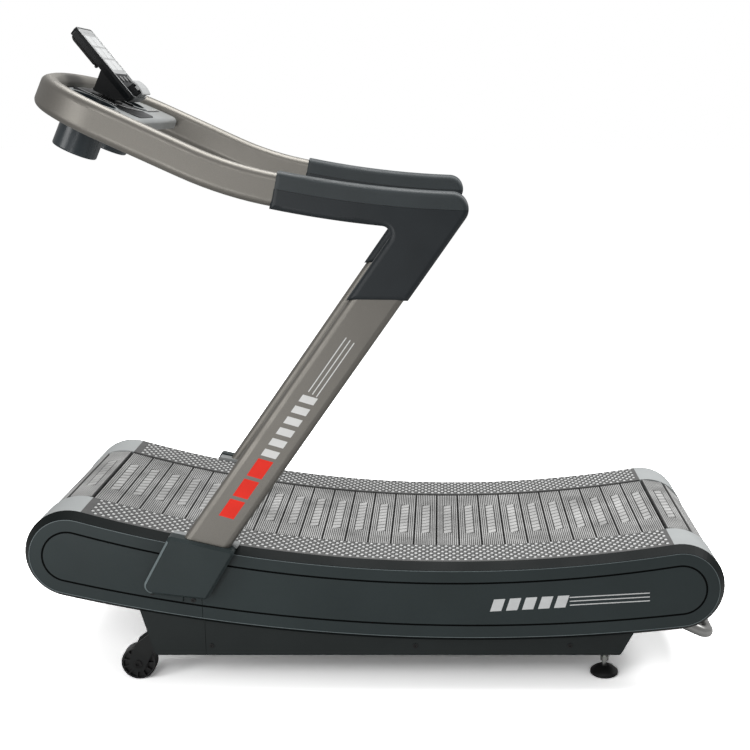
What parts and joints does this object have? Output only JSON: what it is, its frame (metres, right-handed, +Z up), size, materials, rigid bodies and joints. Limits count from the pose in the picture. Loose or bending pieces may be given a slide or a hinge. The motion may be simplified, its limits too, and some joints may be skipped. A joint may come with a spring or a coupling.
{
  "type": "curved manual treadmill",
  "caption": "Curved motorless treadmill: slatted belt on a bowed deck, slanted posts, bent handlebar loop with cup holders and a small console, rear handle, front wheels and levelling feet.",
  "frame": {"origin": "on the floor, under the middle of the machine", "axes": "+X to the rear, so the runner faces -X; +Z up; +Y across the deck to the runner's right"},
  "size_m": [1.7841, 0.804, 1.675],
  "materials": {
    "arm_metal": "metallic satin",
    "cover_plastic": "fine moulded texture",
    "skirt_plastic": "fine moulded texture",
    "strip_plastic": "dimpled grip surface",
    "cap_silver": "satin",
    "tread_rubber": "ribbed",
    "bar_aluminium": "extruded",
    "belt_rubber": "matte",
    "bearing_steel": "ground",
    "frame_steel": "powder coat",
    "elbow_plastic": "soft touch",
    "grip_rubber": "soft grip",
    "tray_plastic": "silver satin",
    "panel_plastic": "matte",
    "cup_plastic": "satin",
    "console_plastic": "satin",
    "screen_glass": "gloss",
    "button_rubber": "matte",
    "rest_plastic": "satin",
    "collar_plastic": "satin",
    "handle_metal": "metallic satin",
    "wheel_plastic": "matte",
    "zinc_steel": "zinc plated",
    "screw_steel": "black oxide",
    "foot_rubber": "matte"
  },
  "bodies": {
    "root": {"drive_belts": "belt_rubber", "bearing_blocks": "frame_steel", "belt_tensioners": "zinc_steel", "track_bearings": "bearing_steel", "bearing_axles": "zinc_steel", "left_side_frame": "frame_steel", "right_side_frame": "frame_steel", "deck_cross_tubes": "frame_steel", "base_frame": "frame_steel", "left_front_side_cover": "cover_plastic", "right_front_side_cover": "cover_plastic", "left_rear_side_cover": "cover_plastic", "right_rear_side_cover": "cover_plastic", "left_foot_strip": "strip_plastic", "right_foot_strip": "strip_plastic", "end_caps": "cap_silver", "skirts": "skirt_plastic", "left_post": "arm_metal", "right_post": "arm_metal", "handlebar": "arm_metal", "post_covers": "cover_plastic", "post_collars": "collar_plastic", "left_elbow_cover": "elbow_plastic", "right_elbow_cover": "elbow_plastic", "grip_pads": "grip_rubber", "dash_tray": "tray_plastic", "dash_panel": "panel_plastic", "cup_holders": "cup_plastic", "console_pedestal": "console_plastic", "console_pin": "zinc_steel", "rear_handle": "handle_metal", "wheel_brackets": "frame_steel", "wheel_axles": "screw_steel", "lock_nuts": "zinc_steel", "cover_screws": "screw_steel"},
    "belt_top": {"top_slat_bars": "bar_aluminium", "top_slat_treads": "tread_rubber"},
    "belt_return": {"return_slat_bars": "bar_aluminium", "return_slat_treads": "tread_rubber"},
    "front_drum": {"front_slat_bars": "bar_aluminium", "front_slat_treads": "tread_rubber", "front_pulleys": "bar_aluminium", "front_shaft": "bearing_steel"},
    "rear_drum": {"rear_slat_bars": "bar_aluminium", "rear_slat_treads": "tread_rubber", "rear_pulleys": "bar_aluminium", "rear_shaft": "bearing_steel"},
    "left_wheel": {"left_wheel": "wheel_plastic"},
    "right_wheel": {"right_wheel": "wheel_plastic"},
    "left_foot": {"left_foot_pad": "foot_rubber", "left_foot_stud": "zinc_steel"},
    "right_foot": {"right_foot_pad": "foot_rubber", "right_foot_stud": "zinc_steel"},
    "console": {"console_front": "console_plastic", "console_back": "console_plastic", "console_screen": "screen_glass", "phone_rest": "rest_plastic"},
    "button_1": {"console_button_1": "button_rubber"},
    "button_2": {"console_button_2": "button_rubber"},
    "button_3": {"console_button_3": "button_rubber"}
  },
  "joints": [
    {"name": "belt_travel", "type": "hinge", "parent": "root", "child": "belt_top", "pos_m": [0.19967, 0, 3.78898], "axis": [0, 1, 0], "range_deg": [-0.51, 0.51]},
    {"name": "belt_return_travel", "type": "hinge", "parent": "root", "child": "belt_return", "pos_m": [0.31472, 0, 5.78432], "axis": [0, 1, 0], "range_deg": [-0.31173, 0.31173]},
    {"name": "front_drum_spin", "type": "hinge", "parent": "root", "child": "front_drum", "pos_m": [-0.77576, 0, 0.37073], "axis": [0, 1, 0], "range_deg": [-18.49, 18.49]},
    {"name": "rear_drum_spin", "type": "hinge", "parent": "root", "child": "rear_drum", "pos_m": [0.77576, 0, 0.28127], "axis": [0, 1, 0], "range_deg": [-18.49, 18.49]},
    {"name": "left_wheel_spin", "type": "hinge", "parent": "root", "child": "left_wheel", "pos_m": [-0.6305, -0.282, 0.0455], "axis": [0, 1, 0], "continuous": true},
    {"name": "right_wheel_spin", "type": "hinge", "parent": "root", "child": "right_wheel", "pos_m": [-0.6305, 0.282, 0.0455], "axis": [0, 1, 0], "continuous": true},
    {"name": "left_foot_height", "type": "slide", "parent": "root", "child": "left_foot", "axis": [0, 0, -1], "range_m": [-0.01, 0.012]},
    {"name": "right_foot_height", "type": "slide", "parent": "root", "child": "right_foot", "axis": [0, 0, -1], "range_m": [-0.01, 0.012]},
    {"name": "console_tilt", "type": "hinge", "parent": "root", "child": "console", "pos_m": [-0.69974, 0, 1.50875], "axis": [0, 1, 0], "range_deg": [-6, 6]},
    {"name": "button_1_press", "type": "slide", "parent": "console", "child": "button_1", "axis": [-0.7837, 0, -0.6211], "range_m": [0, 0.0015], "stiffness_N_per_m": 1500, "springref_m": -0.0004},
    {"name": "button_2_press", "type": "slide", "parent": "console", "child": "button_2", "axis": [-0.7837, 0, -0.6211], "range_m": [0, 0.0015], "stiffness_N_per_m": 1500, "springref_m": -0.0004},
    {"name": "button_3_press", "type": "slide", "parent": "console", "child": "button_3", "axis": [-0.7837, 0, -0.6211], "range_m": [0, 0.0015], "stiffness_N_per_m": 1500, "springref_m": -0.0004}
  ],
  "couplings": [
    {"joint": "belt_return_travel", "follows": "belt_travel", "ratio": -0.61599},
    {"joint": "front_drum_spin", "follows": "belt_travel", "ratio": -36.537},
    {"joint": "rear_drum_spin", "follows": "belt_travel", "ratio": -36.537}
  ]
}
